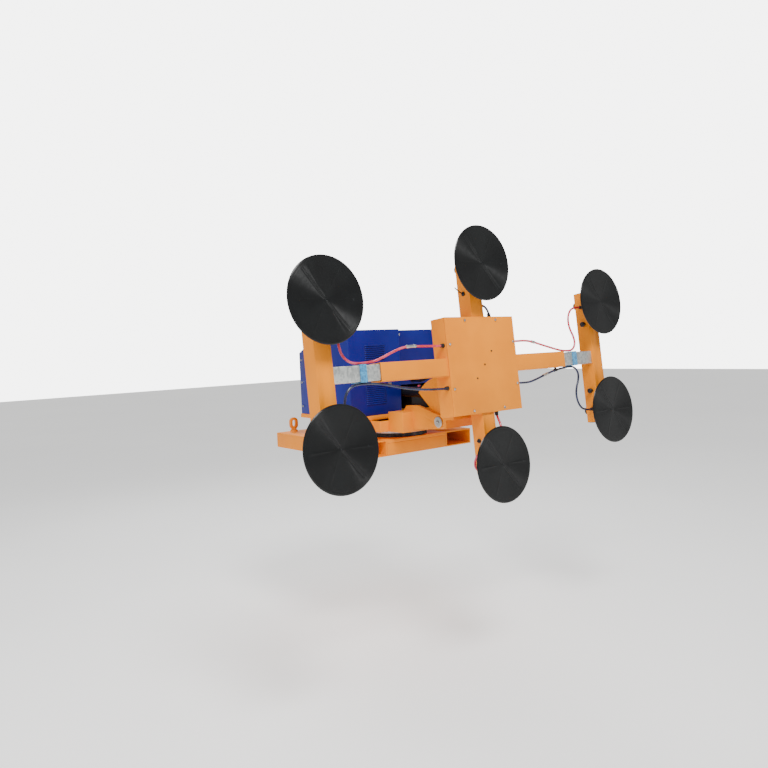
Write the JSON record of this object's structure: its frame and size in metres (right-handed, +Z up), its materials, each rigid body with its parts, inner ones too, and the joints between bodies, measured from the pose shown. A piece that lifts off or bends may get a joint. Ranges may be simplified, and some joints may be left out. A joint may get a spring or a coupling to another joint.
{
  "type": "fork-mounted vacuum suction cup lifter",
  "caption": "Vacuum panel lifter on fork pockets: suction cups on a telescopic cross, a rotating head on a tilt yoke, and a power pack on a turntable.",
  "frame": {"origin": "middle of the rear face of the rear cross beam, midway between the fork pockets and at their mid height", "axes": "+Z up, -Y the way the cups face at zero slew, +Y towards the truck, +X to the right seen from the cups' side"},
  "size_m": [2.3978, 1.62, 1.452],
  "materials": {
    "orange_paint": "satin orange-yellow paint",
    "blue_paint": "semi-gloss blue powder coat",
    "galvanised_steel": "dull galvanised",
    "dark_steel": "oiled dark steel",
    "zinc_steel": "zinc plated",
    "black_rubber": "matt black moulded rubber",
    "black_plastic": "matt black",
    "black_paint": "satin black paint",
    "grey_paint": "satin grey paint",
    "blue_strap": "woven blue strap",
    "clear_red_hose": "tinted polyurethane tube",
    "dark_hose": "dark polyurethane tube"
  },
  "bodies": {
    "fork_frame": {"fork_pocket_left": "orange_paint", "fork_pocket_right": "orange_paint", "front_cross_beam": "orange_paint", "rear_cross_beam": "orange_paint", "turntable_base": "orange_paint", "slew_ring_lower": "dark_steel"},
    "clamp_screw_l": {"clamp_screw_left": "orange_paint"},
    "clamp_screw_r": {"clamp_screw_right": "orange_paint"},
    "carriage": {"slew_ring_upper": "zinc_steel", "carriage_box": "orange_paint", "deck_plate": "orange_paint", "tilt_clevis": "orange_paint", "tilt_pivot_pin": "zinc_steel", "left_cover": "blue_paint", "right_cover": "blue_paint", "battery_pack": "black_plastic", "vacuum_pump": "grey_paint", "vacuum_reservoir": "grey_paint", "hydraulic_unit": "black_paint", "tilt_cylinder_barrel": "black_paint", "tilt_cylinder_bracket": "orange_paint", "main_vacuum_hose": "black_plastic"},
    "tilt_head": {"tilt_yoke": "orange_paint", "rotary_drive": "dark_steel", "rotate_motor": "black_paint", "vacuum_swivel": "zinc_steel"},
    "tilt_rod": {"tilt_cylinder_rod": "zinc_steel"},
    "rotating_head": {"rotary_flange": "zinc_steel", "head_box": "orange_paint", "cover_plate": "orange_paint", "centre_column": "orange_paint", "left_outer_arm": "orange_paint", "right_outer_arm": "orange_paint", "top_hose": "dark_hose", "bottom_hose": "clear_red_hose", "left_upper_hose": "clear_red_hose", "left_lower_hose": "dark_hose", "right_upper_hose": "clear_red_hose", "right_lower_hose": "dark_hose"},
    "left_arm": {"left_inner_arm": "galvanised_steel", "left_end_beam": "orange_paint", "left_hose_strap": "blue_strap"},
    "right_arm": {"right_inner_arm": "galvanised_steel", "right_end_beam": "orange_paint", "right_hose_strap": "blue_strap"},
    "left_top_cup": {"left_top_cup_pad": "black_rubber", "left_top_cup_holder": "black_paint"},
    "left_bottom_cup": {"left_bottom_cup_pad": "black_rubber", "left_bottom_cup_holder": "black_paint"},
    "centre_top_cup": {"centre_top_cup_pad": "black_rubber", "centre_top_cup_holder": "black_paint"},
    "centre_bottom_cup": {"centre_bottom_cup_pad": "black_rubber", "centre_bottom_cup_holder": "black_paint"},
    "right_top_cup": {"right_top_cup_pad": "black_rubber", "right_top_cup_holder": "black_paint"},
    "right_bottom_cup": {"right_bottom_cup_pad": "black_rubber", "right_bottom_cup_holder": "black_paint"}
  },
  "joints": [
    {"name": "carriage_slew", "type": "hinge", "parent": "fork_frame", "child": "carriage", "pos_m": [0, -0.715, 0.0695], "axis": [0, 0, 1], "range_deg": [-60, 60]},
    {"name": "clamp_screw_left_turn", "type": "hinge", "parent": "fork_frame", "child": "clamp_screw_l", "pos_m": [-0.335, -0.045, 0.06], "axis": [0, 0, 1], "continuous": true},
    {"name": "clamp_screw_right_turn", "type": "hinge", "parent": "fork_frame", "child": "clamp_screw_r", "pos_m": [0.335, -0.045, 0.06], "axis": [0, 0, 1], "continuous": true},
    {"name": "head_tilt", "type": "hinge", "parent": "carriage", "child": "tilt_head", "pos_m": [0, -1.236, 0.161], "axis": [1, 0, 0], "range_deg": [-20, 25], "deforming": ["main_vacuum_hose"]},
    {"name": "tilt_rod_slide", "type": "slide", "parent": "carriage", "child": "tilt_rod", "axis": [0, -1, 0], "range_m": [-0.052, 0.065]},
    {"name": "head_rotate", "type": "hinge", "parent": "tilt_head", "child": "rotating_head", "pos_m": [0, -1.544, 0.477], "axis": [0, -0.9945, 0.1045], "continuous": true},
    {"name": "left_arm_slide", "type": "slide", "parent": "rotating_head", "child": "left_arm", "axis": [-1, 0, 0], "range_m": [-0.07, 0.2], "deforming": ["left_upper_hose", "left_lower_hose"]},
    {"name": "right_arm_slide", "type": "slide", "parent": "rotating_head", "child": "right_arm", "axis": [1, 0, 0], "range_m": [-0.07, 0.2], "deforming": ["right_upper_hose", "right_lower_hose"]},
    {"name": "left_top_cup_give", "type": "slide", "parent": "left_arm", "child": "left_top_cup", "axis": [0, 0.9945, -0.1045], "range_m": [0, 0.015], "stiffness_N_per_m": 20000},
    {"name": "left_bottom_cup_give", "type": "slide", "parent": "left_arm", "child": "left_bottom_cup", "axis": [0, 0.9945, -0.1045], "range_m": [0, 0.015], "stiffness_N_per_m": 20000},
    {"name": "centre_top_cup_give", "type": "slide", "parent": "rotating_head", "child": "centre_top_cup", "axis": [0, 0.9945, -0.1045], "range_m": [0, 0.015], "stiffness_N_per_m": 20000},
    {"name": "centre_bottom_cup_give", "type": "slide", "parent": "rotating_head", "child": "centre_bottom_cup", "axis": [0, 0.9945, -0.1045], "range_m": [0, 0.015], "stiffness_N_per_m": 20000},
    {"name": "right_top_cup_give", "type": "slide", "parent": "right_arm", "child": "right_top_cup", "axis": [0, 0.9945, -0.1045], "range_m": [0, 0.015], "stiffness_N_per_m": 20000},
    {"name": "right_bottom_cup_give", "type": "slide", "parent": "right_arm", "child": "right_bottom_cup", "axis": [0, 0.9945, -0.1045], "range_m": [0, 0.015], "stiffness_N_per_m": 20000}
  ],
  "couplings": [
    {"joint": "tilt_rod_slide", "follows": "head_tilt", "m_per_rad": 0.145}
  ]
}
